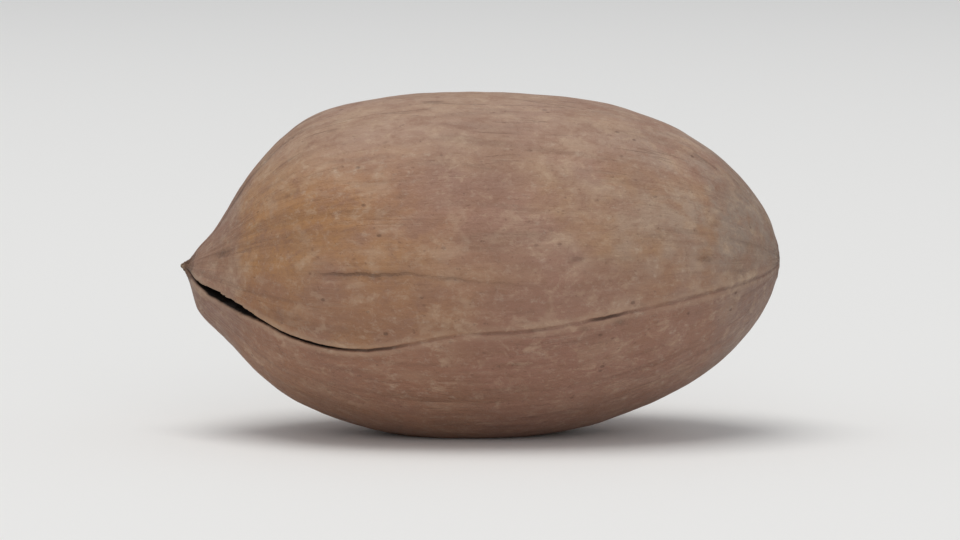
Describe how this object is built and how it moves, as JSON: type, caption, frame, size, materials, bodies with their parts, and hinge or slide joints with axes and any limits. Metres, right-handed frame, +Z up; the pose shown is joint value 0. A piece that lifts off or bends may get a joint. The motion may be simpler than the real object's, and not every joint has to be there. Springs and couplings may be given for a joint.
{
  "type": "pecan in shell",
  "caption": "Whole pecan nut in its closed shell, lying on its side: a beaked apex with a short open split, a rounded base and a seam groove along both sides.",
  "frame": {"origin": "middle of the nut's footprint box, on the surface that it rests on", "axes": "+X along the nut from its beaked apex to its rounded base; +Z up, away from the resting spot; -Y is the side that the picture shows"},
  "size_m": [0.041, 0.0248, 0.0234],
  "materials": {
    "shell": "matt, dry and dusty nutshell: tan brown with golden, pinkish and greyish mottling, and darker streaks towards the apex"
  },
  "bodies": {
    "root": {"pecan_nut": "shell"}
  },
  "joints": []
}
